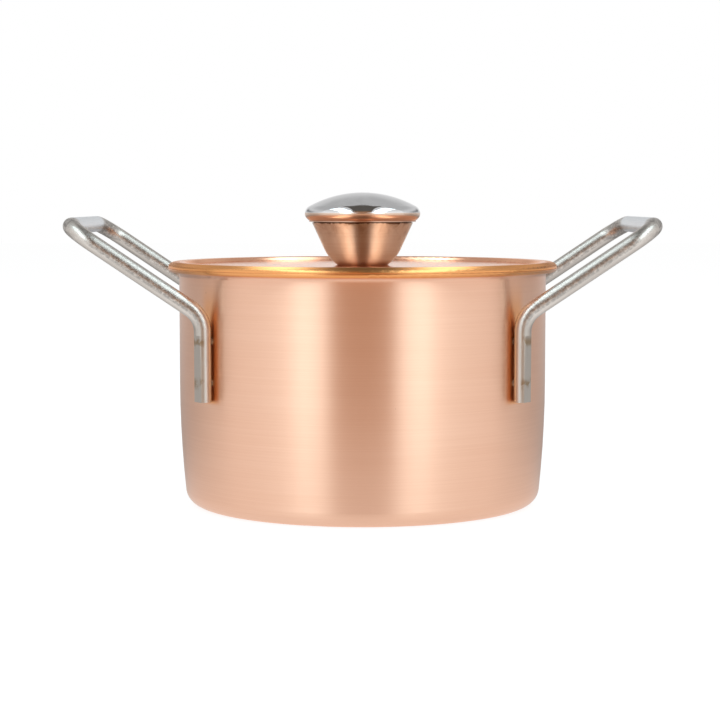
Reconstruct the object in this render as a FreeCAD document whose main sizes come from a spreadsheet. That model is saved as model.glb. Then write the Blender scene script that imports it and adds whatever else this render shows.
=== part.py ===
import FreeCAD, Part
import Sketcher
import math
import os

# Small lidded serving pot: a copper pot lined with steel, two bent wire handles
# spot welded to its wall, and a loose copper lid with a screwed-on knob.
# Millimetres, +Z up, origin on the table at the middle of the base, handles along X.

SIZES = {
    # pot
    "wall_radius": 45.0,         # outside of the straight wall
    "pot_height": 58.0,          # table to the top of the lip
    "straight_wall": 28.0,       # straight stretch of the wall, measured down from the lip
    "belly_radius": 260.0,       # slow curve that draws the wall in below it
    "corner_radius": 4.0,        # bottom corner, outside
    "copper_thickness": 0.4,
    "steel_thickness": 0.5,
    "bond_line": 0.05,           # between copper and steel skins
    "lip_reach": 2.7,            # lip edge out from the wall
    "lip_fillet": 1.0,           # under the lip
    "hem_width": 1.0,            # copper hem that closes over the edge of the liner
    "edge_break": 0.08,          # small rounding on the facing edges of lip and lid
    # lid
    "lid_inset": 0.05,           # lid edge in from the lip edge
    "lid_edge_height": 0.4,      # upright edge of the lid, below its rounded nose
    "lid_nose_radius": 0.8,
    "crest_height": 1.5,         # crest of the lid's edge above the lip
    "crest_inset": 1.6,          # crest in from the lid edge
    "recess_depth": 0.9,         # plate below the crest
    "recess_lean": 0.6,          # recess wall further out at the crest than at the plate
    "recess_round": 1.1,         # crest into the recess wall
    "recess_fillet": 0.7,        # recess wall into the plate
    "skirt_height": 3.0,
    "skirt_bend": 0.8,
    "skirt_clearance": 0.35,     # skirt to the inside of the pot
    # knob
    "cup_base_radius": 7.6,      # where the cone would meet the plate
    "cup_bowl_radius": 10.4,     # rounded bottom of the cup
    "cup_bowl_height": 4.0,      # cone into the rounded bottom, above the plate
    "cup_cone_height": 10.4,
    "cup_neck_radius": 12.1,
    "cup_neck_height": 1.75,     # straight neck inside the cap's lip
    "cup_shoulder": 0.32,        # top of the cone out from the neck
    "cup_flange_reach": 0.8,
    "cup_thickness": 0.7,
    "cap_radius": 14.2,
    "cap_rise": 4.95,            # top of the dome above the top of the cup
    "dome_radius": 27.2,
    "cap_edge_radius": 2.1,      # dome down to the widest line of the cap
    "cap_fold_radius": 1.6,      # widest line into the lip
    "cap_lip_run": 0.55,         # straight stretch of the lip, inwards
    "cap_lip_drop": 0.5,         # and down
    "cap_lip_land": 0.3,         # upright edge at the end of the lip
    "cap_thickness": 0.5,
    # knob fixing
    "bush_radius": 3.8,
    "bush_height": 8.0,
    "bush_chamfer": 0.4,
    "screw_radius": 2.0,
    "screw_length": 10.0,
    "screw_point": 0.5,
    "thread_clearance": 0.05,
    "hole_clearance": 0.2,
    "head_radius": 4.0,
    "head_height": 2.4,
    "head_round": 1.0,
    "drive_span": 4.4,
    "drive_width": 1.0,
    "drive_depth": 1.3,
    "washer_radius": 4.5,
    "washer_thickness": 0.8,
    # handles
    "wire_diameter": 4.0,
    "handle_width": 58.0,        # between the middles of the two legs
    "handle_slope": 33.9,        # degrees above level
    "handle_length": 37.5,       # along the slope, bend corner to the middle of the grip
    "bend_drop": 10.5,           # bend corner below the lip
    "leg_length": 19.9,          # bend corner down to the foot
    "leg_bend_radius": 6.5,
    "grip_bend_radius": 7.0,
    "weld_gap": 0.15,            # leg to wall between the welds
    "weld_radius": 1.0,
    "lower_weld": 4.4,           # above the foot of the leg
    "weld_spacing": 9.7,
    "flat_depth": 0.6,           # pressed flat on the leg, at the foot
    "flat_fade": 0.2,            # depth that it loses on the way up
    "flat_height": 15.5,
}

doc = FreeCAD.newDocument("serving_pot")
sheet = doc.addObject("Spreadsheet::Sheet", "Sizes")
for row, (alias, number) in enumerate(SIZES.items(), start=1):
    sheet.set(f"A{row}", alias)
    sheet.set(f"B{row}", str(number))
    sheet.setAlias(f"B{row}", alias)
doc.recompute()


class Size:
    """A length with its value now and the sheet formula that it follows."""

    def __init__(self, value, formula):
        self.value = float(value)
        self.formula = formula

    def __add__(self, other):
        other = as_size(other)
        return Size(self.value + other.value, f"({self.formula} + {other.formula})")

    def __sub__(self, other):
        other = as_size(other)
        return Size(self.value - other.value, f"({self.formula} - {other.formula})")

    def __mul__(self, other):
        other = as_size(other)
        return Size(self.value * other.value, f"({self.formula} * {other.formula})")

    def __truediv__(self, other):
        other = as_size(other)
        return Size(self.value / other.value, f"({self.formula} / {other.formula})")


def as_size(number):
    return number if isinstance(number, Size) else Size(number, str(number))


def cell(alias):
    return Size(sheet.get(alias), f"{sheet.Name}.{alias}")


def root(size):
    return Size(math.sqrt(size.value), f"sqrt({size.formula})")


def leg_of(longest, other):
    """The third side of a right triangle."""
    return root(longest * longest - other * other)


def bind(feature, **sizes):
    for name, size in sizes.items():
        feature.setExpression(name, size.formula)
    return feature


def origin_plane(body, role):
    return next(plane for plane in body.Origin.OriginFeatures if plane.Role == role)


def arc_centre(start, end, radius, turn):
    """Centre of the short arc from start to end that bends to the left or the right."""
    chord = end - start
    side = FreeCAD.Vector(-chord.y, chord.x, 0).normalize()
    away = math.sqrt(max(radius**2 - chord.Length**2 / 4, 0.0))
    return (start + end) / 2 + side * (away if turn == "left" else -away)


def draw_outline(sketch, steps):
    """Close an outline through points (x, z), or (x, z, radius, turn) at the end of an arc."""
    points = [FreeCAD.Vector(step[0].value, step[1].value, 0) for step in steps]
    first_ends, last_ends = [], []
    for place, step in enumerate(steps):
        start, end = points[place - 1], points[place]
        if len(step) == 2:
            sketch.addGeometry(Part.LineSegment(start, end), False)
            first_ends.append(1)
            last_ends.append(2)
            continue
        centre = arc_centre(start, end, step[2].value, step[3])
        circle = Part.Circle(centre, FreeCAD.Vector(0, 0, 1), step[2].value)
        angles = [math.atan2(point.y - centre.y, point.x - centre.x) for point in (start, end)]
        forward = step[3] == "left"
        sketch.addGeometry(Part.ArcOfCircle(circle, *(angles if forward else angles[::-1])), False)
        first_ends.append(1 if forward else 2)
        last_ends.append(2 if forward else 1)
    for place, step in enumerate(steps):
        following = (place + 1) % len(steps)
        sketch.addConstraint(Sketcher.Constraint(
            "Coincident", place, last_ends[place], following, first_ends[following]))
        for kind, size, axis in (("DistanceX", step[0], -2), ("DistanceY", step[1], -1)):
            if size.value == 0.0:
                sketch.addConstraint(Sketcher.Constraint("PointOnObject", place, last_ends[place], axis))
                continue
            index = sketch.addConstraint(Sketcher.Constraint(
                kind, -1, 1, place, last_ends[place], size.value))
            sketch.setExpression(f"Constraints[{index}]", size.formula)
        if len(step) == 4:
            index = sketch.addConstraint(Sketcher.Constraint("Radius", place, step[2].value))
            sketch.setExpression(f"Constraints[{index}]", step[2].formula)


def turned_body(label, steps, level=None):
    """A body turned about Z from one outline, lifted to its level."""
    body = doc.addObject("PartDesign::Body", label)
    body.Label = label
    sketch = body.newObject("Sketcher::SketchObject", f"{label}_outline")
    sketch.AttachmentSupport = [(origin_plane(body, "XZ_Plane"), "")]
    sketch.MapMode = "FlatFace"
    draw_outline(sketch, steps)
    turned = body.newObject("PartDesign::Revolution", f"{label}_turned")
    turned.Profile = sketch
    turned.ReferenceAxis = (sketch, ["V_Axis"])
    turned.Angle = 360
    if level is not None:
        body.setExpression("Placement.Base.z", level.formula)
    return body


nothing = as_size(0)
copper = cell("copper_thickness")
steel = cell("steel_thickness")
bond = cell("bond_line")
wall_radius = cell("wall_radius")
lip_top = cell("pot_height")
edge_break = cell("edge_break")

# Levels of the lip, and the slow curve and bottom corner that every skin of the pot follows
lip_thickness = copper + bond + steel
lip_under = lip_top - lip_thickness
lip_radius = wall_radius + cell("lip_reach")
lip_fillet = cell("lip_fillet")
fillet_level = lip_under - lip_fillet
fillet_radius_x = wall_radius + lip_fillet
hem_radius = lip_radius - cell("hem_width")
belly_radius = cell("belly_radius")
belly_level = lip_top - cell("straight_wall")
belly_centre = wall_radius - belly_radius
corner_radius = cell("corner_radius")
corner_drop = belly_level - corner_radius
corner_run = leg_of(belly_radius - corner_radius, corner_drop)
corner_centre = belly_centre + corner_run


def belly_foot(inward):
    """Where the slow curve runs into the bottom corner, on a skin that lies inward."""
    share = (belly_radius - inward) / (belly_radius - corner_radius)
    return belly_centre + corner_run * share, belly_level - corner_drop * share


def wall_up(inward):
    """From the bottom corner up to the flare under the lip, on a skin that lies inward."""
    foot_x, foot_level = belly_foot(inward)
    wall_x = wall_radius - inward
    return [
        (corner_centre, nothing + inward),
        (foot_x, foot_level, corner_radius - inward, "left"),
        (wall_x, belly_level, belly_radius - inward, "left"),
        (wall_x, fillet_level),
        (fillet_radius_x, lip_under + inward, lip_fillet + inward, "right"),
    ]


def wall_down(inward):
    foot_x, foot_level = belly_foot(inward)
    wall_x = wall_radius - inward
    return [
        (fillet_radius_x, lip_under + inward),
        (wall_x, fillet_level, lip_fillet + inward, "left"),
        (wall_x, belly_level),
        (foot_x, foot_level, belly_radius - inward, "right"),
        (corner_centre, nothing + inward, corner_radius - inward, "right"),
    ]


def pot_shell():
    lip_round = lip_thickness - edge_break
    steps = [(nothing, nothing)]
    steps += wall_up(nothing)
    steps += [
        (lip_radius - lip_round, lip_under),
        (lip_radius, lip_top - edge_break, lip_round, "left"),
        (lip_radius - edge_break, lip_top, edge_break, "left"),
        (hem_radius, lip_top),
        (hem_radius, lip_under + copper),
    ]
    steps += wall_down(copper)
    steps += [(nothing, copper)]
    return turned_body("pot_shell", steps)


liner_outside = copper + bond
liner_inside = liner_outside + steel


def pot_liner():
    steps = [(nothing, liner_outside)]
    steps += wall_up(liner_outside)
    steps += [
        (hem_radius - bond, lip_under + liner_outside),
        (hem_radius - bond, lip_top),
    ]
    steps += wall_down(liner_inside)
    steps += [(nothing, liner_inside)]
    return turned_body("pot_liner", steps)


# Levels of the lid, which lies with its flat underside on the lip
crest_level = lip_top + cell("crest_height")
recess_depth = cell("recess_depth")
plate_top = crest_level - recess_depth
plate_under = plate_top - copper
lid_liner_top = plate_under - bond
lid_liner_under = lid_liner_top - steel
plug_radius = wall_radius - liner_inside - cell("skirt_clearance")
screw_hole = cell("screw_radius") + cell("hole_clearance")


def lid_shell():
    lid_radius = lip_radius - cell("lid_inset")
    nose_radius = cell("lid_nose_radius")
    nose_x = lid_radius - nose_radius
    nose_level = lip_top + cell("lid_edge_height")
    crest_x = lid_radius - cell("crest_inset")
    across = nose_x - crest_x
    below = crest_level - nose_level
    # the crown arc is level at the crest and runs into the nose arc
    crown_radius = ((across * across + below * below - nose_radius * nose_radius)
                    / ((below - nose_radius) * 2))
    crown_level = crest_level - crown_radius
    share = crown_radius / (crown_radius - nose_radius)
    # the recess wall leans out on its way up from the plate to the crest
    recess_x = plug_radius - copper
    recess_lean = cell("recess_lean")
    recess_round = cell("recess_round")
    recess_fillet = cell("recess_fillet")
    slant = root(recess_lean * recess_lean + recess_depth * recess_depth)
    slope_x = recess_lean / slant
    slope_z = recess_depth / slant
    setback = (as_size(1) - slope_x) / slope_z
    round_x = recess_x + recess_lean + recess_round * setback
    foot_x = recess_x - recess_fillet * setback
    steps = [
        (screw_hole, plate_under),
        (plug_radius, plate_under),
        (plug_radius, lip_top),
        (lid_radius - edge_break, lip_top),
        (lid_radius, lip_top + edge_break, edge_break, "left"),
        (lid_radius, nose_level),
        (crest_x + across * share, crown_level + (nose_level - crown_level) * share,
         nose_radius, "left"),
        (crest_x, crest_level, crown_radius, "left"),
        (round_x, crest_level),
        (round_x - recess_round * slope_z, crest_level - recess_round + recess_round * slope_x,
         recess_round, "left"),
        (foot_x + recess_fillet * slope_z, plate_top + recess_fillet - recess_fillet * slope_x),
        (foot_x, plate_top, recess_fillet, "right"),
        (screw_hole, plate_top),
    ]
    return turned_body("lid_shell", steps)


def lid_liner():
    skirt_bend = cell("skirt_bend")
    skirt_foot = lid_liner_top - cell("skirt_height")
    steps = [
        (screw_hole, lid_liner_under),
        (plug_radius - skirt_bend, lid_liner_under),
        (plug_radius - steel, lid_liner_top - skirt_bend, skirt_bend - steel, "right"),
        (plug_radius - steel, skirt_foot),
        (plug_radius, skirt_foot),
        (plug_radius, lid_liner_top - skirt_bend),
        (plug_radius - skirt_bend, lid_liner_top, skirt_bend, "left"),
        (screw_hole, lid_liner_top),
    ]
    return turned_body("lid_liner", steps)


# Knob levels are above the plate that the knob stands on
cup_thickness = cell("cup_thickness")
neck_radius = cell("cup_neck_radius")
cone_height = cell("cup_cone_height")
flange_under = cone_height + cell("cup_neck_height")
cup_top = flange_under + cup_thickness


def knob_cup():
    base_radius = cell("cup_base_radius")
    bowl_radius = cell("cup_bowl_radius")
    bowl_height = cell("cup_bowl_height")
    cone_top = neck_radius + cell("cup_shoulder")
    spread = cone_top - base_radius
    slant = root(spread * spread + cone_height * cone_height)
    slope_x = spread / slant
    slope_z = cone_height / slant
    # the rounded bottom leaves the cone without a corner and ends at the foot
    bowl_x = base_radius + bowl_height * slope_x / slope_z
    centre_x = bowl_x - bowl_radius * slope_z
    centre_level = bowl_height + bowl_radius * slope_x
    foot_x = centre_x + leg_of(bowl_radius, centre_level)
    inner_radius = bowl_radius - cup_thickness
    inner_foot_x = centre_x + leg_of(inner_radius, centre_level - cup_thickness)
    inner_bowl_x = centre_x + inner_radius * slope_z
    inner_bowl_level = centre_level - inner_radius * slope_x
    inner_neck = neck_radius - cup_thickness
    inner_neck_level = inner_bowl_level + (inner_neck - inner_bowl_x) * slope_z / slope_x
    flange_radius = neck_radius + cell("cup_flange_reach")
    steps = [
        (screw_hole, nothing),
        (foot_x, nothing),
        (bowl_x, bowl_height, bowl_radius, "left"),
        (cone_top, cone_height),
        (neck_radius, cone_height),
        (neck_radius, flange_under),
        (flange_radius, flange_under),
        (flange_radius, cup_top),
        (inner_neck, cup_top),
        (inner_neck, inner_neck_level),
        (inner_bowl_x, inner_bowl_level),
        (inner_foot_x, cup_thickness, inner_radius, "right"),
        (screw_hole, cup_thickness),
    ]
    return turned_body("knob_cup", steps, plate_top)


def knob_cap():
    wall = cell("cap_thickness")
    cap_radius = cell("cap_radius")
    edge_radius = cell("cap_edge_radius")
    dome_radius = cell("dome_radius")
    dome_top = cup_top + cell("cap_rise")
    dome_centre = dome_top - dome_radius
    edge_x = cap_radius - edge_radius
    edge_rise = leg_of(dome_radius - edge_radius, edge_x)
    edge_level = dome_centre + edge_rise
    fold_radius = cell("cap_fold_radius")
    lip_run = cell("cap_lip_run")
    lip_drop = cell("cap_lip_drop")
    slant = root(lip_run * lip_run + lip_drop * lip_drop)

    def edge_top(inward):
        share = (dome_radius - inward) / (dome_radius - edge_radius)
        return edge_x * share, dome_centre + edge_rise * share

    def fold_end(inward):
        share = (fold_radius - inward) / slant
        return cap_radius - fold_radius + lip_drop * share, edge_level - lip_run * share

    fold_x, fold_level = fold_end(nothing)
    land_x = fold_x - lip_run
    land_level = fold_level - lip_drop
    land_end = land_level - cell("cap_lip_land")
    inner_land_x = land_x - wall
    inner_fold_x, inner_fold_level = fold_end(wall)
    inner_land_level = inner_fold_level - (inner_fold_x - inner_land_x) * lip_drop / lip_run
    steps = [
        (land_x, land_end),
        (land_x, land_level),
        fold_end(nothing),
        (cap_radius, edge_level, fold_radius, "left"),
        (*edge_top(nothing), edge_radius, "left"),
        (nothing, dome_top, dome_radius, "left"),
        (nothing, dome_top - wall),
        (*edge_top(wall), dome_radius - wall, "right"),
        (cap_radius - wall, edge_level, edge_radius - wall, "right"),
        (*fold_end(wall), fold_radius - wall, "right"),
        (inner_land_x, inner_land_level),
        (inner_land_x, land_end),
    ]
    return turned_body("knob_cap", steps, plate_top)


def knob_bush():
    bore = cell("screw_radius") + cell("thread_clearance")
    bush_radius = cell("bush_radius")
    bush_height = cell("bush_height")
    chamfer = cell("bush_chamfer")
    steps = [
        (bore, nothing),
        (bush_radius, nothing),
        (bush_radius, bush_height - chamfer),
        (bush_radius - chamfer, bush_height),
        (bore, bush_height),
    ]
    return turned_body("knob_bush", steps, plate_top + cup_thickness)


def knob_screw():
    shank = cell("screw_radius")
    head = cell("head_radius")
    head_height = cell("head_height")
    head_round = cell("head_round")
    tip = head_height + cell("screw_length")
    point = cell("screw_point")
    head_level = lid_liner_under - cell("washer_thickness") - head_height
    steps = [
        (nothing, nothing),
        (head - head_round, nothing),
        (head, head_round, head_round, "left"),
        (head, head_height),
        (shank, head_height),
        (shank, tip - point),
        (shank - point, tip),
        (nothing, tip),
    ]
    body = turned_body("knob_screw", steps, head_level)
    for name, along_x in (("slot", True), ("cross_slot", False)):
        cut_slot(body, name, along_x)
    return body


def cut_slot(body, name, along_x):
    """One slot of the cross drive, cut up into the screw head."""
    span = cell("drive_span")
    width = cell("drive_width")
    size_x, size_y = (span, width) if along_x else (width, span)
    half_x, half_y = size_x.value / 2, size_y.value / 2
    sketch = body.newObject("Sketcher::SketchObject", name)
    sketch.AttachmentSupport = [(origin_plane(body, "XY_Plane"), "")]
    sketch.MapMode = "FlatFace"
    corners = [FreeCAD.Vector(x, y, 0) for x, y in
               ((-half_x, -half_y), (half_x, -half_y), (half_x, half_y), (-half_x, half_y))]
    for place in range(4):
        sketch.addGeometry(Part.LineSegment(corners[place], corners[(place + 1) % 4]), False)
    for place in range(4):
        sketch.addConstraint(Sketcher.Constraint("Coincident", place, 2, (place + 1) % 4, 1))
        level_side = "Horizontal" if place % 2 == 0 else "Vertical"
        sketch.addConstraint(Sketcher.Constraint(level_side, place))
    sketch.addConstraint(Sketcher.Constraint("Symmetric", 0, 1, 1, 2, -1, 1))
    for side, size in ((0, size_x), (1, size_y)):
        index = sketch.addConstraint(Sketcher.Constraint("Distance", side, size.value))
        sketch.setExpression(f"Constraints[{index}]", size.formula)
    doc.recompute()
    whole = body.Shape.Volume
    slot = body.newObject("PartDesign::Pocket", f"{name}_cut")
    slot.Profile = sketch
    slot.Reversed = True
    bind(slot, Length=cell("drive_depth"))
    doc.recompute()
    if body.Shape.Volume >= whole:
        raise RuntimeError(f"{name} cuts nothing")


def screw_washer():
    blank = doc.addObject("Part::Cylinder", "washer_blank")
    bind(blank, Radius=cell("washer_radius"), Height=cell("washer_thickness"))
    hole = doc.addObject("Part::Cylinder", "washer_hole")
    bind(hole, Radius=screw_hole, Height=cell("washer_thickness"))
    for piece in (blank, hole):
        level = lid_liner_under - cell("washer_thickness")
        piece.setExpression("Placement.Base.z", level.formula)
    washer = doc.addObject("Part::Cut", "screw_washer")
    washer.Label = "screw_washer"
    washer.Base = blank
    washer.Tool = hole
    return washer


# Handle legs stand on the wall's own radius, so that they bear on it squarely
wire_radius = cell("wire_diameter") / 2
half_width = cell("handle_width") / 2
leg_reach = wall_radius + cell("weld_gap") + wire_radius
leg_x = leg_of(leg_reach, half_width)
bend_level = lip_top - cell("bend_drop")
foot_level = bend_level - cell("leg_length")
leg_turn = math.degrees(math.atan2(half_width.value, leg_x.value))


def bent_wire(corners, radii):
    """Straight runs joined by tangent arcs."""
    edges = []
    reached = corners[0]
    for before, corner, after, radius in zip(corners, corners[1:], corners[2:], radii):
        inward = (before - corner).normalize()
        outward = (after - corner).normalize()
        half_angle = inward.getAngle(outward) / 2
        setback = radius / math.tan(half_angle)
        start = corner + inward * setback
        end = corner + outward * setback
        bisector = (inward + outward).normalize()
        middle = corner + bisector * (radius / math.sin(half_angle) - radius)
        edges.append(Part.LineSegment(reached, start).toShape())
        edges.append(Part.Arc(start, middle, end).toShape())
        reached = end
    edges.append(Part.LineSegment(reached, corners[-1]).toShape())
    return Part.Wire(edges)


def handle_path():
    slope = math.radians(cell("handle_slope").value)
    length = cell("handle_length").value
    grip_x = leg_x.value + length * math.cos(slope)
    grip_level = bend_level.value + length * math.sin(slope)
    front = -half_width.value
    half = [
        FreeCAD.Vector(leg_x.value, front, foot_level.value),
        FreeCAD.Vector(leg_x.value, front, bend_level.value),
        FreeCAD.Vector(grip_x, front, grip_level),
    ]
    corners = half + [FreeCAD.Vector(point.x, -point.y, point.z) for point in half[::-1]]
    leg_bend = cell("leg_bend_radius").value
    grip_bend = cell("grip_bend_radius").value
    path = doc.addObject("Part::Feature", "handle_path")
    path.Shape = bent_wire(corners, [leg_bend, grip_bend, grip_bend, leg_bend])
    return path


def leg_flat(name, side):
    """What the pressed flat takes off the outer face of a leg, fading out upwards."""
    flat = doc.addObject("Part::Box", name)
    below = cell("wire_diameter")
    bind(flat, Length=cell("wire_diameter"), Width=cell("wire_diameter") * 2,
         Height=cell("flat_height") + below)
    fade = cell("flat_fade").value / cell("flat_height").value
    tilt = FreeCAD.Rotation(FreeCAD.Vector(0, 1, 0), math.degrees(math.atan(fade)))
    turn = FreeCAD.Rotation(FreeCAD.Vector(0, 0, 1), side * leg_turn)
    out = leg_reach.value + wire_radius.value - cell("flat_depth").value
    at_foot = turn.multVec(FreeCAD.Vector(out, 0, 0)) + FreeCAD.Vector(0, 0, foot_level.value)
    rotation = turn.multiply(tilt)
    corner = FreeCAD.Vector(0, -cell("wire_diameter").value, -below.value)
    flat.Placement = FreeCAD.Placement(at_foot + rotation.multVec(corner), rotation)
    return flat


def right_handle():
    path = handle_path()
    section = bind(doc.addObject("Part::Circle", "wire_section"), Radius=wire_radius)
    section.Placement.Base = FreeCAD.Vector(leg_x.value, -half_width.value, foot_level.value)
    wire = doc.addObject("Part::Sweep", "handle_wire")
    wire.Sections = [section]
    wire.Spine = (path, [f"Edge{number}" for number in range(1, len(path.Shape.Edges) + 1)])
    wire.Solid = True
    flats = doc.addObject("Part::MultiFuse", "leg_flats")
    flats.Shapes = [leg_flat("front_leg_flat", -1), leg_flat("rear_leg_flat", 1)]
    handle = doc.addObject("Part::Cut", "right_handle")
    handle.Label = "right_handle"
    handle.Base = wire
    handle.Tool = flats
    doc.recompute()
    drawn = math.pi * wire_radius.value**2 * path.Shape.Length
    if abs(wire.Shape.Volume / drawn - 1) > 0.001:
        raise RuntimeError("the handle wire is not its section times its length")
    return handle


def spot_weld(name, height, wall, leg):
    """Weld metal that fills the gap between wall and leg round one spot."""
    nugget = doc.addObject("Part::Cylinder", f"{name}_nugget")
    bind(nugget, Radius=cell("weld_radius"), Height=leg_reach - wall_radius + wire_radius)
    turn = FreeCAD.Rotation(FreeCAD.Vector(0, 0, 1), -leg_turn)
    lay = FreeCAD.Rotation(FreeCAD.Vector(0, 1, 0), 90)
    start = turn.multVec(FreeCAD.Vector(wall_radius.value - wire_radius.value, 0, 0))
    start.z = foot_level.value + height.value
    nugget.Placement = FreeCAD.Placement(start, turn.multiply(lay))
    off_wall = doc.addObject("Part::Cut", f"{name}_off_wall")
    off_wall.Base = nugget
    off_wall.Tool = wall
    weld = doc.addObject("Part::Cut", name)
    weld.Base = off_wall
    weld.Tool = leg
    return weld


def right_front_welds():
    wall = bind(doc.addObject("Part::Cylinder", "weld_wall"), Radius=wall_radius, Height=lip_top)
    leg = bind(doc.addObject("Part::Cylinder", "weld_leg"), Radius=wire_radius, Height=lip_top)
    leg.Placement.Base = FreeCAD.Vector(leg_x.value, -half_width.value, 0)
    lower = cell("lower_weld")
    upper = lower + cell("weld_spacing")
    welds = doc.addObject("Part::Compound", "right_front_welds")
    welds.Label = "right_front_welds"
    welds.Links = [spot_weld("lower_spot", lower, wall, leg), spot_weld("upper_spot", upper, wall, leg)]
    return welds


def mirrored(label, source, normal):
    copy = doc.addObject("Part::Mirroring", label)
    copy.Label = label
    copy.Source = source
    copy.Normal = normal
    return copy


def handle_pieces():
    to_left = FreeCAD.Vector(1, 0, 0)
    to_rear = FreeCAD.Vector(0, 1, 0)
    handle = right_handle()
    front_welds = right_front_welds()
    rear_welds = mirrored("right_rear_welds", front_welds, to_rear)
    return [
        handle, front_welds, rear_welds,
        mirrored("left_handle", handle, to_left),
        mirrored("left_front_welds", front_welds, to_left),
        mirrored("left_rear_welds", rear_welds, to_left),
    ]


pieces = [pot_shell(), pot_liner(), *handle_pieces(), lid_shell(), lid_liner(),
          knob_cup(), knob_cap(), knob_bush(), knob_screw(), screw_washer()]
doc.recompute()

for made in doc.Objects:
    if "Invalid" in made.State or "Error" in made.State:
        raise RuntimeError(f"{made.Name} failed: {made.State}")
for piece in pieces:
    if piece.Shape.isNull() or not piece.Shape.isValid() or not piece.Shape.Solids:
        raise RuntimeError(f"{piece.Label} has no valid solid")

os.makedirs("parts", exist_ok=True)
for piece in pieces:
    piece.Shape.exportStep(os.path.join("parts", f"{piece.Label}.step"))
    print(f"{piece.Label}: {len(piece.Shape.Solids)} solid, {piece.Shape.Volume:.1f} mm3")
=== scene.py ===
import math

import bmesh
import bpy
from mathutils import Matrix, Vector

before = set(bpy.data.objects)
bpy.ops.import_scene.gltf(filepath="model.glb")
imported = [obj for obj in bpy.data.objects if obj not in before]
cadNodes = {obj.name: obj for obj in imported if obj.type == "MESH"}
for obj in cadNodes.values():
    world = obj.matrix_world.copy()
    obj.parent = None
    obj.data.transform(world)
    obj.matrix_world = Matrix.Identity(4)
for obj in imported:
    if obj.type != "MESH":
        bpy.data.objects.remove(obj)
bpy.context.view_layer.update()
mm = 0.001


def feed(tree, socket, source):
    if isinstance(source, bpy.types.NodeSocket):
        tree.links.new(source, socket)
    else:
        socket.default_value = source


def addNode(tree, kind, settings=None, inputs=None):
    node = tree.nodes.new(kind)
    for name, value in (settings or {}).items():
        setattr(node, name, value)
    for name, source in (inputs or {}).items():
        feed(tree, node.inputs[name], source)
    return node


def findNode(tree, kind):
    return next(n for n in tree.nodes if n.type == kind)


def maths(tree, operation, first, second=0.0, clamp=False):
    settings = {"operation": operation, "use_clamp": clamp}
    return addNode(tree, "ShaderNodeMath", settings, {0: first, 1: second}).outputs[0]


def times(tree, first, second):
    return maths(tree, "MULTIPLY", first, second)


def unsigned(tree, value):
    return maths(tree, "ABSOLUTE", value)


def remap(tree, value, fromMin, fromMax, toMin=0.0, toMax=1.0):
    inputs = {
        "Value": value, "From Min": fromMin, "From Max": fromMax, "To Min": toMin, "To Max": toMax,
    }
    node = addNode(tree, "ShaderNodeMapRange", {"interpolation_type": "SMOOTHSTEP"}, inputs)
    return node.outputs["Result"]


def between(tree, value, start, end, edge):
    past = remap(tree, value, start, start + edge)
    before = remap(tree, value, end, end - edge)
    return times(tree, past, before)


def mixEnds(tree, dataType, factor, first, second):
    settings = {"data_type": dataType, "clamp_factor": True}
    node = addNode(tree, "ShaderNodeMix", settings, {0: factor})
    kind = "VALUE" if dataType == "FLOAT" else dataType
    ends = [s for s in node.inputs if s.type == kind and s.name in ("A", "B")]
    feed(tree, ends[0], first)
    feed(tree, ends[1], second)
    return next(s for s in node.outputs if s.type == kind)


def blend(tree, factor, first, second):
    return mixEnds(tree, "RGBA", factor, first, second)


def blendValues(tree, factor, first, second):
    return mixEnds(tree, "FLOAT", factor, first, second)


def noise(tree, vector, scale=1.0, detail=2.0, roughness=0.5, distortion=0.0):
    inputs = {
        "Vector": vector, "Scale": scale, "Detail": detail, "Roughness": roughness,
        "Distortion": distortion,
    }
    return addNode(tree, "ShaderNodeTexNoise", None, inputs).outputs["Fac"]


def startGroup(name, inputs, outputs):
    group = bpy.data.node_groups.new(name, "ShaderNodeTree")
    for labels, direction in ((inputs, "INPUT"), (outputs, "OUTPUT")):
        for label in labels:
            group.interface.new_socket(label, in_out=direction, socket_type="NodeSocketFloat")
    entry = group.nodes.new("NodeGroupInput")
    leave = group.nodes.new("NodeGroupOutput")
    return group, entry.outputs, leave.inputs


def placeGroup(tree, group, inputs):
    return addNode(tree, "ShaderNodeGroup", {"node_tree": group}, inputs).outputs


def objectAxes(tree):
    coordinate = addNode(tree, "ShaderNodeTexCoord").outputs["Object"]
    axes = addNode(tree, "ShaderNodeSeparateXYZ", None, {0: coordinate}).outputs
    return coordinate, axes["X"], axes["Y"], axes["Z"]


def joinAxes(tree, x, y, z):
    return addNode(tree, "ShaderNodeCombineXYZ", None, {"X": x, "Y": y, "Z": z}).outputs[0]


def axisRadius(tree, x, y):
    squares = maths(tree, "ADD", times(tree, x, x), times(tree, y, y))
    return maths(tree, "SQRT", squares)


turning = {"slant": 1.7, "broadLines": 260.0, "fineDetail": 3.0, "fineRoughness": 0.65}


def turnedLinesGroup():
    look = turning
    outputs = ("Fine", "Broad", "Radius", "Height")
    group, given, result = startGroup("turnedLines", ("Lines", "Drift"), outputs)
    _, x, y, z = objectAxes(group)
    radius = axisRadius(group, x, y)
    along = maths(group, "ADD", z, times(group, radius, look["slant"]))  # up walls, across plates
    driftX, driftY = times(group, x, given["Drift"]), times(group, y, given["Drift"])
    fine = joinAxes(group, driftX, driftY, times(group, along, given["Lines"]))
    broad = joinAxes(group, driftX, driftY, times(group, along, look["broadLines"]))
    fine = noise(group, fine, detail=look["fineDetail"], roughness=look["fineRoughness"])
    for label, source in zip(outputs, (fine, noise(group, broad), radius, z)):
        feed(group, result[label], source)
    return group


smearing = {
    "cloudDetail": 5.0, "cloudRoughness": 0.62, "cloudWarp": 0.6,
    "cloudLow": 0.35, "cloudHigh": 0.68,
    "hazeFiner": 9.0, "hazeDetail": 3.0, "hazeRoughness": 0.7, "hazeLow": 0.3, "hazeHigh": 0.75,
}


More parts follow.
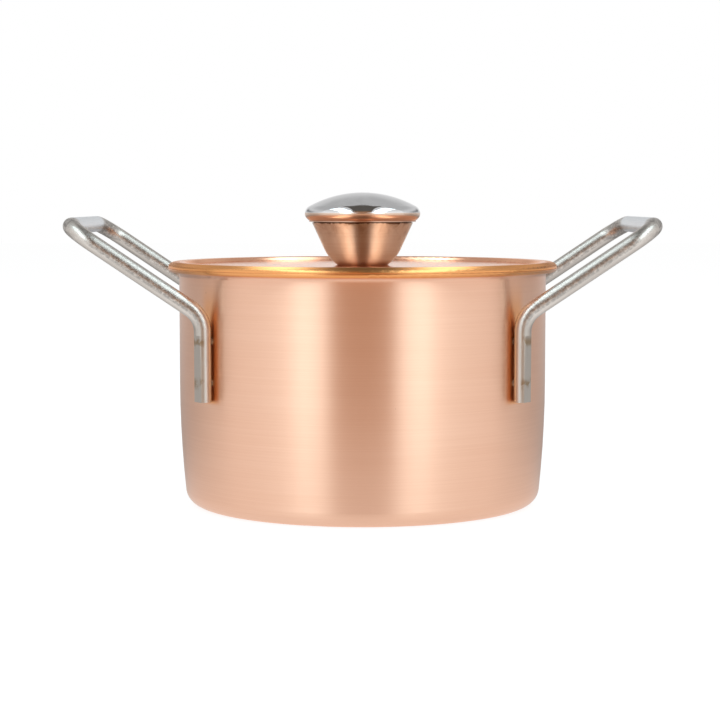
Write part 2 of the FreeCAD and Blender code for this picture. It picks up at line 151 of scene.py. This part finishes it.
def smearsGroup():
    look = smearing
    group, given, result = startGroup("smears", ("Size",), ("Cloud", "Haze"))
    coordinate, _, _, _ = objectAxes(group)
    cloud = noise(
        group, coordinate, given["Size"],
        look["cloudDetail"], look["cloudRoughness"], look["cloudWarp"])
    feed(group, result["Cloud"], remap(group, cloud, look["cloudLow"], look["cloudHigh"]))
    finer = times(group, given["Size"], look["hazeFiner"])
    haze = noise(group, coordinate, finer, look["hazeDetail"], look["hazeRoughness"])
    feed(group, result["Haze"], remap(group, haze, look["hazeLow"], look["hazeHigh"]))
    return group


turnedLines = turnedLinesGroup()
smears = smearsGroup()
print("shared effects ready")


# the parts of a noise's range that are used, and the turn that lays brushing around the axis
noiseBand = {"wide": (0.2, 0.8), "crisp": (0.3, 0.7)}
quarterTurn = 0.25


def startFinish(name):
    finish = bpy.data.materials.new(name)
    finish.use_nodes = True
    tree = finish.node_tree
    return finish, tree, findNode(tree, "BSDF_PRINCIPLED").inputs


def startMetal(name):
    finish, tree, shader = startFinish(name)
    shader["Metallic"].default_value = 1.0
    return finish, tree, shader


def brushAround(shader, look):
    shader["Anisotropic"].default_value = look["grain"]
    shader["Anisotropic Rotation"].default_value = quarterTurn


def relief(tree, height, look):
    inputs = {"Height": height, "Strength": look["relief"], "Distance": look["reliefDepth"]}
    return addNode(tree, "ShaderNodeBump", None, inputs).outputs["Normal"]


def crisp(tree, value):
    return remap(tree, value, *noiseBand["crisp"])


def uneven(tree, value, look):
    middle, spread = look["roughness"], look["spread"]
    return remap(tree, value, *noiseBand["wide"], middle - spread, middle + spread)


bodyCopper = {
    "light": (0.93, 0.585, 0.426, 1), "deep": (0.89, 0.538, 0.38, 1),
    "rim": (0.86, 0.39, 0.145, 1), "rimFrom": 56.95 * mm, "rimTo": 57.15 * mm,
    "lines": {"Lines": 3400.0, "Drift": 22.0}, "broadShare": 0.25,
    "roughness": 0.40, "spread": 0.03, "rimRoughness": 0.34, "grain": 0.9,
    "relief": 0.08, "reliefDepth": 0.02 * mm,
    "speck": (0.45, 0.22, 0.12, 1), "speckShare": 0.7,
    "speckSpread": 110.0, "speckSize": 0.035, "speckRarity": 4.0,
    # reflectedLeg: painted reflection, an orange streak on the wall beside each leg
    "reflectedLeg": (0.95, 0.43, 0.16, 1), "reflectedLegShare": 0.8, "reflectedLegFrom": 2.3 * mm, "reflectedLegTo": 5.0 * mm,
    "legX": 37.2 * mm, "legY": 29 * mm, "legFoot": 27.6 * mm, "legFootFade": 1 * mm,
    "legTop": 57.5 * mm, "legTopFade": 11 * mm,
}


def speckMask(tree, look):
    coordinate, _, _, _ = objectAxes(tree)
    inputs = {"Vector": coordinate, "Scale": look["speckSpread"]}
    cells = addNode(tree, "ShaderNodeTexVoronoi", None, inputs).outputs
    chance = addNode(tree, "ShaderNodeSeparateColor", None, {0: cells["Color"]}).outputs[0]
    reach = times(tree, maths(tree, "POWER", chance, look["speckRarity"]), look["speckSize"])
    share = maths(tree, "DIVIDE", cells["Distance"], reach)
    speck = maths(tree, "SUBTRACT", 1.0, share, clamp=True)
    return times(tree, speck, look["speckShare"])


# painted reflection: mask for the orange streak that each leg throws in the wall beside it
def legReflection(tree, look):
    _, x, y, z = objectAxes(tree)
    fromX = maths(tree, "SUBTRACT", unsigned(tree, x), look["legX"])
    fromY = maths(tree, "SUBTRACT", unsigned(tree, y), look["legY"])
    near = remap(tree, axisRadius(tree, fromX, fromY), look["reflectedLegTo"], look["reflectedLegFrom"])
    under = remap(tree, z, look["legTop"], look["legTop"] - look["legTopFade"])
    above = remap(tree, z, look["legFoot"] - look["legFootFade"], look["legFoot"])
    beside = times(tree, near, times(tree, under, above))
    return times(tree, beside, look["reflectedLegShare"])


def brushedCopper():
    look = bodyCopper
    finish, tree, shader = startMetal("brushedCopper")
    lines = placeGroup(tree, turnedLines, look["lines"])
    mixed = blendValues(tree, look["broadShare"], lines["Fine"], lines["Broad"])
    tone = blend(tree, crisp(tree, mixed), look["deep"], look["light"])
    tone = blend(tree, speckMask(tree, look), tone, look["speck"])
    tone = blend(tree, legReflection(tree, look), tone, look["reflectedLeg"])  # painted reflection of each leg in the copper wall beside it
    rim = remap(tree, lines["Height"], look["rimFrom"], look["rimTo"])
    feed(tree, shader["Base Color"], blend(tree, rim, tone, look["rim"]))
    satin = uneven(tree, lines["Fine"], look)
    feed(tree, shader["Roughness"], blendValues(tree, rim, satin, look["rimRoughness"]))
    brushAround(shader, look)
    feed(tree, shader["Normal"], relief(tree, lines["Fine"], look))
    return finish


# slopes: the step inside the crest faces the axis, which is side -1,
# and the outer half of the crest faces away from it
lidCopper = {
    "plate": (0.95, 0.51, 0.33, 1), "deep": (0.90, 0.46, 0.29, 1), "grazing": (1.0, 0.86, 0.76, 1),
    "edge": (0.86, 0.39, 0.145, 1), "edgeFrom": 45.7 * mm, "edgeTo": 46.6 * mm,
    "lines": {"Lines": 3200.0, "Drift": 10.0}, "smears": {"Size": 70.0},
    "roughness": 0.14, "spread": 0.02, "edgeRoughness": 0.27,
    "wallRoughness": 0.2, "wallFrom": 42.3 * mm, "wallTo": 42.8 * mm,
    "crestRoughness": 0.34, "crestFrom": 44.8 * mm, "crestTo": 46.9 * mm, "crestBlend": 0.4 * mm,
    "relief": 0.05, "reliefDepth": 0.02 * mm,
    "slopes": (
        {"from": 43.0 * mm, "to": 43.95 * mm, "blend": 0.12 * mm,
         "tilt": math.radians(29), "side": -1},
        {"from": 45.6 * mm, "to": 47.5 * mm, "blend": 0.25 * mm,
         "tilt": math.radians(36), "side": 1},
    ),
}


def slopeNormal(tree, radius, normal, slope):
    _, x, y, _ = objectAxes(tree)
    level = math.cos(slope["tilt"]) * slope["side"]
    levelX, levelY = (times(tree, maths(tree, "DIVIDE", axis, radius), level) for axis in (x, y))
    facing = joinAxes(tree, levelX, levelY, math.sin(slope["tilt"]))
    settings = {"vector_type": "NORMAL", "convert_from": "OBJECT", "convert_to": "WORLD"}
    facing = addNode(tree, "ShaderNodeVectorTransform", settings, {0: facing}).outputs[0]
    onSlope = between(tree, radius, slope["from"], slope["to"], slope["blend"])
    mixed = mixEnds(tree, "VECTOR", onSlope, normal, facing)
    return addNode(tree, "ShaderNodeVectorMath", {"operation": "NORMALIZE"}, {0: mixed}).outputs[0]


def polishedCopper():
    look = lidCopper
    finish, tree, shader = startMetal("polishedCopper")
    lines = placeGroup(tree, turnedLines, look["lines"])
    cloud = placeGroup(tree, smears, look["smears"])
    radius = lines["Radius"]
    tone = blend(tree, cloud["Cloud"], look["plate"], look["deep"])
    edge = remap(tree, radius, look["edgeFrom"], look["edgeTo"])
    feed(tree, shader["Base Color"], blend(tree, edge, tone, look["edge"]))
    wall = remap(tree, radius, look["wallFrom"], look["wallTo"])
    polish = blendValues(tree, wall, uneven(tree, cloud["Haze"], look), look["wallRoughness"])
    crest = between(tree, radius, look["crestFrom"], look["crestTo"], look["crestBlend"])
    polish = blendValues(tree, crest, polish, look["crestRoughness"])
    feed(tree, shader["Roughness"], blendValues(tree, edge, polish, look["edgeRoughness"]))
    shader["Specular Tint"].default_value = look["grazing"]
    normal = relief(tree, lines["Fine"], look)
    for slope in look["slopes"]:
        normal = slopeNormal(tree, radius, normal, slope)
    feed(tree, shader["Normal"], normal)
    return finish


cupCopper = {
    "light": (0.80, 0.645, 0.51, 1), "deep": (0.735, 0.56, 0.43, 1),
    "lines": {"Lines": 5200.0, "Drift": 60.0}, "smears": {"Size": 320.0},
    # foot: painted shade low on the cup, where it stands on the lid
    "foot": (0.48, 0.27, 0.16, 1), "footShadeFrom": 60.2 * mm, "footShadeTo": 58.7 * mm,
    "stain": (0.50, 0.32, 0.21, 1), "stainShare": 0.85,
    "stainFrom": 64.0 * mm, "stainTo": 68.8 * mm,
    "seam": (0.13, 0.06, 0.035, 1), "seamRagged": 0.5 * mm,
    "seamFrom": 68.9 * mm, "seamTo": 69.3 * mm,
    "roughness": 0.40, "spread": 0.05, "grain": 0.95, "relief": 0.1, "reliefDepth": 0.02 * mm,
}


def knobCopper():
    look = cupCopper
    finish, tree, shader = startMetal("knobCopper")
    lines = placeGroup(tree, turnedLines, look["lines"])
    cloud = placeGroup(tree, smears, look["smears"])["Cloud"]
    tone = blend(tree, crisp(tree, lines["Fine"]), look["deep"], look["light"])
    # painted shade: the cup darkens towards its foot, where it meets the lid
    foot = remap(tree, lines["Height"], look["footShadeFrom"], look["footShadeTo"])
    tone = blend(tree, foot, tone, look["foot"])
    stain = times(tree, remap(tree, lines["Height"], look["stainFrom"], look["stainTo"]), cloud)
    tone = blend(tree, times(tree, stain, look["stainShare"]), tone, look["stain"])
    ragged = maths(tree, "ADD", lines["Height"], times(tree, cloud, look["seamRagged"]))
    seam = remap(tree, ragged, look["seamFrom"], look["seamTo"])
    feed(tree, shader["Base Color"], blend(tree, seam, tone, look["seam"]))
    feed(tree, shader["Roughness"], uneven(tree, lines["Fine"], look))
    brushAround(shader, look)
    feed(tree, shader["Normal"], relief(tree, lines["Fine"], look))
    return finish


capChrome = {
    "bright": (0.87, 0.87, 0.88, 1), "dull": (0.80, 0.80, 0.81, 1), "smears": {"Size": 150.0},
    "roughness": 0.06, "spread": 0.025,
    "lipRoughness": 0.28, "lipFrom": 71.9 * mm, "lipTo": 71.3 * mm,
    "copperReflection": (0.78, 0.57, 0.44, 1), "copperReflectionFrom": 71.6 * mm, "copperReflectionTo": 71.2 * mm,
    "edgeReflection": (0.56, 0.34, 0.24, 1), "edgeReflectionFrom": 69.75 * mm, "edgeReflectionTo": 69.5 * mm,
}


def mirrorChrome():
    look = capChrome
    finish, tree, shader = startMetal("mirrorChrome")
    cloud = placeGroup(tree, smears, look["smears"])
    _, _, _, z = objectAxes(tree)
    tone = blend(tree, cloud["Cloud"], look["bright"], look["dull"])
    # painted reflection: a copper tone under the cap's widest line, where the lip mirrors the
    # copper below
    tone = blend(tree, remap(tree, z, look["copperReflectionFrom"], look["copperReflectionTo"]), tone, look["copperReflection"])
    edgeReflection = remap(tree, z, look["edgeReflectionFrom"], look["edgeReflectionTo"])  # painted reflection of the copper lid on the cap's cut edge
    feed(tree, shader["Base Color"], blend(tree, edgeReflection, tone, look["edgeReflection"]))
    lip = remap(tree, z, look["lipFrom"], look["lipTo"])
    polish = uneven(tree, cloud["Haze"], look)
    feed(tree, shader["Roughness"], blendValues(tree, lip, polish, look["lipRoughness"]))
    return finish


wireSteel = {
    "light": (0.70, 0.645, 0.595, 1), "dark": (0.585, 0.535, 0.49, 1), "smears": {"Size": 300.0},
    # gripSheen: painted sheen, the top bar lighter and bluer for the ceiling it reflects
    "gripSheen": (0.82, 0.85, 0.89, 1), "gripSheenShare": 0.8, "gripHalf": 24 * mm, "gripBlend": 5 * mm,
    "dull": (0.45, 0.405, 0.36, 1), "dullShare": 0.8, "legTop": 48 * mm, "legBlend": 4 * mm,
    "outsideFrom": 47.6 * mm, "outsideTo": 48.4 * mm,
    # darkReflectionScuff: painted dark reflection on the arms' front and back faces, with gritty
    # scuffs
    "darkReflectionScuff": (0.27, 0.25, 0.235, 1), "darkReflectionScuffShare": 0.7,
    "armSide": 29 * mm, "darkReflectionScuffFrom": 1.72 * mm, "darkReflectionScuffTo": 1.93 * mm,
    "burnt": (0.30, 0.20, 0.11, 1), "burntShare": 0.85, "burntLow": 0.15, "burntHigh": 0.6,
    "weldHeights": (32.0 * mm, 41.7 * mm), "weldReach": 1.9 * mm,
    "slope": math.radians(33.9), "stretch": 70.0, "hair": 1700.0,
    "streakDetail": 3.0, "streakRoughness": 0.6,
    "gritScale": 1500.0, "gritDetail": 3.0, "gritRoughness": 0.6, "gritLow": 0.3, "gritHigh": 0.62,
    "roughness": 0.38, "spread": 0.06, "relief": 0.07, "reliefDepth": 0.05 * mm, "reliefGrit": 0.2,
}


def wireStreaks(tree, look):
    _, x, y, z = objectAxes(tree)
    outward, sideways = unsigned(tree, x), unsigned(tree, y)
    cosine, sine = math.cos(look["slope"]), math.sin(look["slope"])
    along = maths(tree, "ADD", times(tree, outward, cosine), times(tree, z, sine))
    across = maths(tree, "SUBTRACT", times(tree, z, cosine), times(tree, outward, sine))

    def streak(lengthways, firstAcross, secondAcross):
        vector = joinAxes(
            tree, times(tree, lengthways, look["stretch"]),
            times(tree, firstAcross, look["hair"]), times(tree, secondAcross, look["hair"]))
        return noise(tree, vector, detail=look["streakDetail"], roughness=look["streakRoughness"])

    onLeg = remap(tree, z, look["legTop"], look["legTop"] - look["legBlend"])
    onGrip = remap(tree, sideways, look["gripHalf"], look["gripHalf"] - look["gripBlend"])
    onArm = maths(tree, "SUBTRACT", maths(tree, "SUBTRACT", 1.0, onLeg), onGrip, clamp=True)
    drawn = blendValues(tree, onLeg, streak(along, across, y), streak(z, x, y))
    drawn = blendValues(tree, onGrip, drawn, streak(y, along, across))
    aside = unsigned(tree, maths(tree, "SUBTRACT", sideways, look["armSide"]))
    flank = times(tree, remap(tree, aside, look["darkReflectionScuffFrom"], look["darkReflectionScuffTo"]), onArm)
    return drawn, onLeg, onGrip, flank


def weldMarks(tree, look, cloud):
    _, _, _, z = objectAxes(tree)
    near = 0.0
    for height in look["weldHeights"]:
        away = unsigned(tree, maths(tree, "SUBTRACT", z, height))
        near = maths(tree, "MAXIMUM", near, remap(tree, away, look["weldReach"], 0.0))
    below = maths(tree, "LESS_THAN", z, look["legTop"])
    patchy = remap(tree, cloud, look["burntLow"], look["burntHigh"])
    return times(tree, times(tree, near, below), patchy)


def drawnSteel():
    look = wireSteel
    finish, tree, shader = startMetal("drawnSteel")
    coordinate, x, y, _ = objectAxes(tree)
    drawn, onLeg, onGrip, flank = wireStreaks(tree, look)
    outside = remap(tree, axisRadius(tree, x, y), look["outsideFrom"], look["outsideTo"])
    grit = noise(tree, coordinate, look["gritScale"], look["gritDetail"], look["gritRoughness"])
    cloud = placeGroup(tree, smears, look["smears"])
    # painted dark reflection on the front and back faces of each arm, broken up by grit
    reflectedAndScuffed = times(tree, flank, remap(tree, grit, look["gritLow"], look["gritHigh"]))
    burnt = times(tree, weldMarks(tree, look, cloud["Cloud"]), outside)
    layers = {"gripSheen": onGrip, "dull": times(tree, onLeg, outside), "darkReflectionScuff": reflectedAndScuffed, "burnt": burnt}
    tone = blend(tree, crisp(tree, drawn), look["dark"], look["light"])
    for name, mask in layers.items():
        tone = blend(tree, times(tree, mask, look[name + "Share"]), tone, look[name])
    feed(tree, shader["Base Color"], tone)
    feed(tree, shader["Roughness"], uneven(tree, cloud["Haze"], look))
    height = blendValues(tree, look["reliefGrit"], drawn, grit)
    feed(tree, shader["Normal"], relief(tree, height, look))
    return finish


innerSteel = {
    "light": (0.72, 0.71, 0.70, 1), "dark": (0.60, 0.59, 0.58, 1),
    "lines": {"Lines": 2800.0, "Drift": 18.0}, "roughness": 0.3, "spread": 0.05, "grain": 0.7,
    "relief": 0.1, "reliefDepth": 0.03 * mm,
}


def linerSteel():
    look = innerSteel
    finish, tree, shader = startMetal("linerSteel")
    fine = placeGroup(tree, turnedLines, look["lines"])["Fine"]
    feed(tree, shader["Base Color"], blend(tree, crisp(tree, fine), look["dark"], look["light"]))
    feed(tree, shader["Roughness"], uneven(tree, fine, look))
    brushAround(shader, look)
    feed(tree, shader["Normal"], relief(tree, fine, look))
    return finish


weldNugget = {
    "bright": (0.45, 0.38, 0.31, 1), "burnt": (0.12, 0.07, 0.045, 1), "smears": {"Size": 700.0},
    "roughness": 0.5, "spread": 0.12, "metal": 0.9,
}


def burntWeld():
    look = weldNugget
    finish, tree, shader = startMetal("burntWeld")
    cloud = placeGroup(tree, smears, look["smears"])
    feed(tree, shader["Base Color"], blend(tree, cloud["Cloud"], look["bright"], look["burnt"]))
    feed(tree, shader["Roughness"], uneven(tree, cloud["Haze"], look))
    shader["Metallic"].default_value = look["metal"]
    return finish


fixings = {
    "light": (0.66, 0.65, 0.63, 1), "dark": (0.46, 0.45, 0.44, 1),
    "lines": {"Lines": 5000.0, "Drift": 80.0}, "smears": {"Size": 420.0},
    "roughness": 0.3, "spread": 0.08, "relief": 0.1, "reliefDepth": 0.03 * mm,
}


def fixingSteel():
    look = fixings
    finish, tree, shader = startMetal("fixingSteel")
    fine = placeGroup(tree, turnedLines, look["lines"])["Fine"]
    haze = placeGroup(tree, smears, look["smears"])["Haze"]
    feed(tree, shader["Base Color"], blend(tree, fine, look["dark"], look["light"]))
    feed(tree, shader["Roughness"], uneven(tree, haze, look))
    feed(tree, shader["Normal"], relief(tree, fine, look))
    return finish


def dressNodes():
    finishes = {
        "pot_shell": brushedCopper(), "lid_shell": polishedCopper(), "knob_cup": knobCopper(),
        "knob_cap": mirrorChrome(),
    }
    byEnding = {"_handle": drawnSteel(), "_liner": linerSteel(), "_welds": burntWeld()}
    for ending, finish in byEnding.items():
        finishes.update({name: finish for name in cadNodes if name.endswith(ending)})
    finishes.update(dict.fromkeys(("knob_bush", "knob_screw", "screw_washer"), fixingSteel()))
    for name, finish in finishes.items():
        for slot in cadNodes[name].material_slots:
            slot.material = finish
    print("finishes on", len(finishes), "of", len(cadNodes), "nodes")


dressNodes()


def stagePiece(name, bm, finish):
    mesh = bpy.data.meshes.new(name)
    bm.to_mesh(mesh)
    bm.free()
    mesh.materials.append(finish)
    obj = bpy.data.objects.new(name, mesh)
    bpy.context.scene.collection.objects.link(obj)
    return obj


def seenInMetalOnly(obj):
    obj.visible_camera = False
    obj.visible_diffuse = False
    obj.visible_transmission = False
    obj.visible_shadow = False


def startGlow(name):
    finish = bpy.data.materials.new(name)
    finish.use_nodes = True
    tree = finish.node_tree
    glow = addNode(tree, "ShaderNodeEmission", None, {"Strength": 1.0})
    feed(tree, findNode(tree, "OUTPUT_MATERIAL").inputs["Surface"], glow.outputs[0])
    return finish, tree, glow.inputs["Color"]


def grey(tone):
    return (tone, tone, tone, 1)


def flatSheet(corners):
    lift = 0.5 * mm  # clear of the floor
    bm = bmesh.new()
    bm.faces.new([bm.verts.new((x, y, lift)) for x, y in corners])
    return bm


floorLook = {
    "size": 6.0, "tone": 0.92, "roughness": 0.9, "glow": 0.75, "white": 1.1, "mirrored": 1.03,
}


def makeFloor():
    look = floorLook
    bm = bmesh.new()
    bmesh.ops.create_grid(bm, x_segments=1, y_segments=1, size=look["size"] / 2)
    finish, tree, shader = startFinish("paleFloor")
    shader["Base Color"].default_value = grey(look["tone"])
    shader["Roughness"].default_value = look["roughness"]
    shader["Specular IOR Level"].default_value = 0.0
    path = addNode(tree, "ShaderNodeLightPath").outputs
    white = blendValues(tree, path["Is Camera Ray"], look["mirrored"], look["white"])
    glow = addNode(tree, "ShaderNodeEmission", None, {"Color": grey(1.0), "Strength": white})
    mirrored = maths(tree, "MAXIMUM", path["Is Glossy Ray"], path["Is Transmission Ray"])
    direct = maths(tree, "MAXIMUM", path["Is Camera Ray"], mirrored)
    share = times(tree, direct, look["glow"])
    matt = findNode(tree, "BSDF_PRINCIPLED").outputs[0]
    mix = addNode(tree, "ShaderNodeMixShader", None, {0: share, 1: matt, 2: glow.outputs[0]})
    feed(tree, findNode(tree, "OUTPUT_MATERIAL").inputs["Surface"], mix.outputs[0])
    stagePiece("floor", bm, finish)


flagLook = {
    "radius": 0.56, "foot": 0.19, "end": 0.11, "to": math.radians(120), "steps": 40,
    "low": (0.36, 0.16, 0.06, 1), "high": (0.10, 0.09, 0.08, 1), "lowTo": 0.18, "highFrom": 0.45,
}


def makeFlag():
    look = flagLook
    bm = bmesh.new()
    ends = [bm.verts.new((side * look["foot"], -look["radius"], 0)) for side in (-1, 1)]
    edge = bm.edges.new(ends)
    bmesh.ops.spin(
        bm, geom=ends + [edge], cent=(0, 0, 0), axis=(1, 0, 0),
        angle=-look["to"], steps=look["steps"])
    taper = look["end"] / look["foot"] - 1
    for vert in bm.verts:
        risen = math.atan2(vert.co.z, -vert.co.y) / look["to"]
        vert.co.x *= 1 + taper * risen
    finish, tree, colour = startGlow("darkFlag")
    _, _, _, z = objectAxes(tree)
    height = remap(tree, z, look["lowTo"], look["highFrom"])
    feed(tree, colour, blend(tree, height, look["low"], look["high"]))
    seenInMetalOnly(stagePiece("flag", bm, finish))


apronLook = {"from": 0.13, "colour": (0.86, 0.60, 0.42, 1)}


def makeApron():
    near, far = apronLook["from"], flagLook["radius"]
    widen = flagLook["foot"] / far  # its sides run on to the foot of the flag
    corners = [
        (-near * widen, -near), (near * widen, -near), (far * widen, -far), (-far * widen, -far),
    ]
    finish, _, colour = startGlow("warmApron")
    colour.default_value = apronLook["colour"]
    seenInMetalOnly(stagePiece("apron", flatSheet(corners), finish))


backLook = {
    "radius": 0.70, "span": math.radians(180), "rise": math.radians(66),
    "riseSteps": 16, "spanSteps": 48,
    "foot": 0.8, "footMiddle": 0.93, "middleFrom": 0.95, "middleTo": 0.99,
    "tones": ((0.0, 0.9), (0.3, 0.6), (0.57, 0.22), (0.86, 0.1), (0.95, 0.78)),
    "mid": 0.64, "high": 0.47,
    # heights at which each tone comes in, as shares of the radius
    "tonesRise": (0.10, 0.32), "midRise": (0.25, 0.45), "highRise": (0.45, 0.72),
}
# painted shadow: a sheet seen only in metal, white in front and grey behind the pot, where the pot
# shades the floor
rearShadeLook = {"tone": 0.38, "from": -0.06, "to": 0.10}


def makeRearFloorShade():
    look = rearShadeLook
    near, reach = look["from"], backLook["radius"]
    corners = [(-reach, near), (reach, near), (reach, reach), (-reach, reach)]
    finish, tree, colour = startGlow("rearFloorShade")
    _, _, y, _ = objectAxes(tree)
    fade = remap(tree, y, near, look["to"])
    feed(tree, colour, blend(tree, fade, grey(1.0), grey(look["tone"])))
    seenInMetalOnly(stagePiece("rearFloorShade", flatSheet(corners), finish))


def backdropTone(tree, look):
    _, x, y, z = objectAxes(tree)
    behind = maths(tree, "DIVIDE", y, axisRadius(tree, x, y))  # 1 straight behind the pot
    ramp = addNode(tree, "ShaderNodeValToRGB", None, {0: behind})
    stops = ramp.color_ramp.elements
    while len(stops) < len(look["tones"]):
        stops.new(0.5)  # moved to its place below
    for stop, (place, tone) in zip(stops, look["tones"]):
        stop.position = place
        stop.color = grey(tone)
    tone = remap(
        tree, behind, look["middleFrom"], look["middleTo"], look["foot"], look["footMiddle"])
    layers = {
        "tonesRise": ramp.outputs["Color"],
        "midRise": grey(look["mid"]), "highRise": grey(look["high"]),
    }
    for name, above in layers.items():
        start, end = (share * look["radius"] for share in look[name])
        tone = blend(tree, remap(tree, z, start, end), tone, above)
    return tone


def makeBackdrop():
    look = backLook
    bm = bmesh.new()
    turn = look["span"] / 2
    foot = bm.verts.new(Vector((math.sin(turn), math.cos(turn), 0)) * look["radius"])
    sideways = Vector((math.cos(turn), -math.sin(turn), 0))
    bmesh.ops.spin(
        bm, geom=[foot], cent=(0, 0, 0), axis=sideways, angle=look["rise"], steps=look["riseSteps"])
    bmesh.ops.spin(
        bm, geom=bm.verts[:] + bm.edges[:], cent=(0, 0, 0), axis=(0, 0, 1),
        angle=look["span"], steps=look["spanSteps"])
    finish, tree, colour = startGlow("greyBackdrop")
    feed(tree, colour, backdropTone(tree, look))
    seenInMetalOnly(stagePiece("backdrop", bm, finish))


# each row: angle up from the front, length, share of the distance that it stands aside
softBoxes = {
    "distance": 1.0, "width": 0.34, "level": 1.95, "colour": (0.78, 1.01, 1.10),
    "rows": (
        (math.radians(32), 0.66, 0.505),
        (math.radians(63), 0.5, 0.535),
        (math.radians(92), 0.56, 0.55),
    ),
}


def makeSoftBox(name, rise, length, aside):
    look = softBoxes
    lamp = bpy.data.lights.new(name, "AREA")
    lamp.shape = "RECTANGLE"
    lamp.size = look["width"]
    lamp.size_y = length
    lamp.energy = look["level"] * math.pi * look["width"] * length  # in watts
    lamp.color = look["colour"]
    box = bpy.data.objects.new(name, lamp)
    bpy.context.scene.collection.objects.link(box)
    inline = math.sqrt(1 - aside * aside)
    away = Vector((aside, -inline * math.cos(rise), inline * math.sin(rise)))
    along = Vector((0, math.sin(rise), math.cos(rise)))  # the long side runs front to back
    box.location = away * look["distance"]
    box.rotation_euler = Matrix((along.cross(away), along, away)).transposed().to_euler()
    box.visible_camera = False


def makeSoftBoxes():
    for side, label in ((-1, "left"), (1, "right")):
        for row, (rise, length, aside) in enumerate(softBoxes["rows"]):
            makeSoftBox(f"{label}SoftBox{row}", rise, length, side * aside)


skyLook = {"tone": 1.0, "zenith": 0.62, "from": 0.15, "to": 0.85}


def makeWorld():
    look = skyLook
    world = bpy.data.worlds.new("studioWhite")
    bpy.context.scene.world = world
    world.use_nodes = True
    tree = world.node_tree
    direction = addNode(tree, "ShaderNodeTexCoord").outputs["Generated"]
    height = addNode(tree, "ShaderNodeSeparateXYZ", None, {0: direction}).outputs["Z"]
    upward = remap(tree, height, look["from"], look["to"])
    background = findNode(tree, "BACKGROUND").inputs
    feed(tree, background["Color"], blend(tree, upward, grey(look["tone"]), grey(look["zenith"])))
    background["Strength"].default_value = 1.0


view = {
    "place": (-0.62 * mm, -479.9 * mm, 74.18 * mm), "pitch": math.radians(90 - 4.66),
    "lens": 97.3, "sensor": 36.0, "clip": 10 * mm,
}


def makeCamera():
    data = bpy.data.cameras.new("camera")
    data.lens = view["lens"]
    data.sensor_width = view["sensor"]
    data.clip_start = view["clip"]
    camera = bpy.data.objects.new("camera", data)
    bpy.context.scene.collection.objects.link(camera)
    camera.location = view["place"]
    camera.rotation_euler = (view["pitch"], 0, 0)
    bpy.context.scene.camera = camera


makeFloor()
makeFlag()
makeApron()
makeRearFloorShade()
makeBackdrop()
makeSoftBoxes()
makeWorld()
makeCamera()
bpy.context.scene.view_settings.view_transform = "Standard"
print("stage, light and camera ready")
